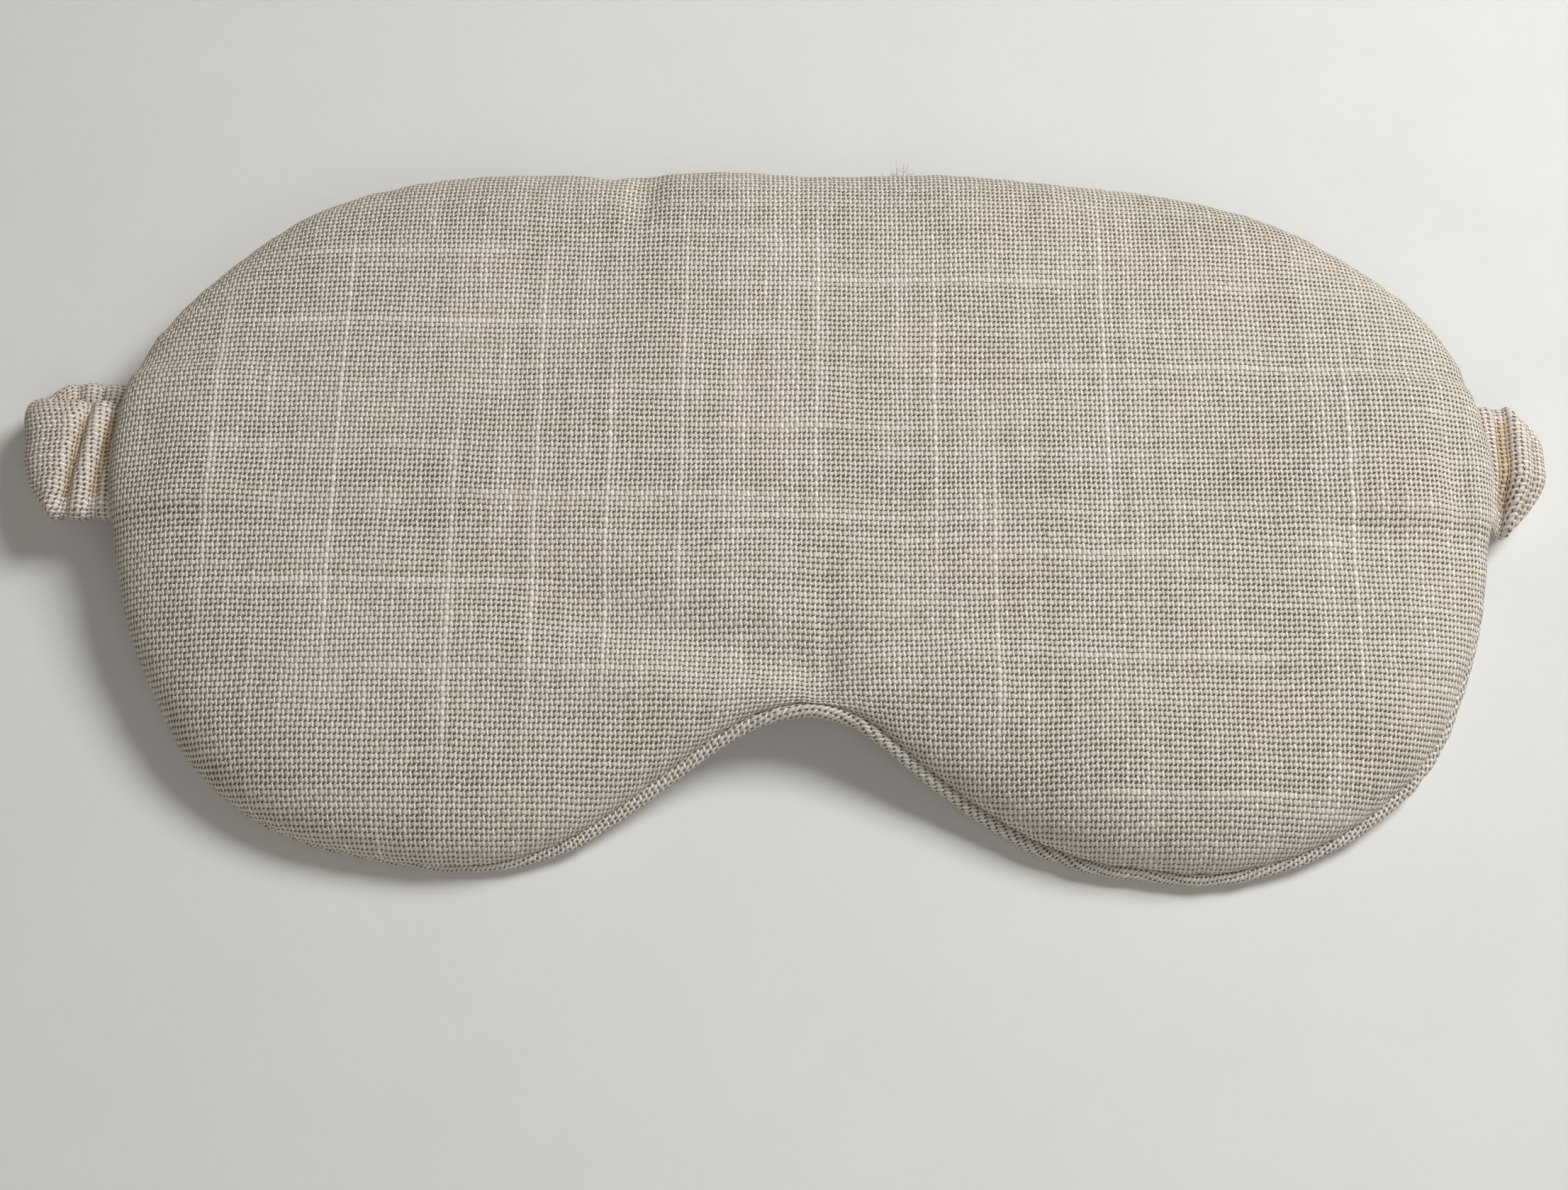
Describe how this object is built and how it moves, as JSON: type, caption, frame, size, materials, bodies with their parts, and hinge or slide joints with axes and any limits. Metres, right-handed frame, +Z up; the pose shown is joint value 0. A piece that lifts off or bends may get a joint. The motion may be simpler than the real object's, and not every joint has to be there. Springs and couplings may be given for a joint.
{
  "type": "padded linen sleep mask",
  "caption": "Padded linen eye pillow worn as a sleep mask, with a nose notch and a ruched elastic strap that stretches open behind it.",
  "frame": {"origin": "on the table, below the middle of the whole object's footprint", "axes": "+X across the mask, +Y towards its straight top edge, +Z up out of the front of the mask"},
  "size_m": [0.23, 0.1148, 0.0169],
  "materials": {
    "front_linen": "plain-weave slub linen, warm oatmeal, matt",
    "back_linen": "plain-weave linen, cooler grey, matt",
    "strap_linen": "gathered plain-weave linen, matt",
    "wadding": "white bonded fibre batting",
    "elastic": "flat woven elastic",
    "thread": "spun sewing thread"
  },
  "bodies": {
    "strap": {"strap_casing": "strap_linen", "elastic_band": "elastic", "casing_seam_thread": "thread"},
    "pad": {"front_panel": "front_linen", "back_panel": "back_linen", "front_wadding": "wadding", "back_wadding": "wadding", "seam_needle_thread": "thread", "seam_bobbin_thread": "thread", "left_anchor_stitches": "thread", "right_anchor_stitches": "thread", "closing_stitches": "thread"}
  },
  "joints": [
    {"name": "strap_stretch", "type": "slide", "parent": "strap", "child": "pad", "axis": [0, 0, 1], "range_m": [0, 0.1], "stiffness_N_per_m": 25, "deforming": ["strap_casing", "elastic_band", "casing_seam_thread"]}
  ]
}
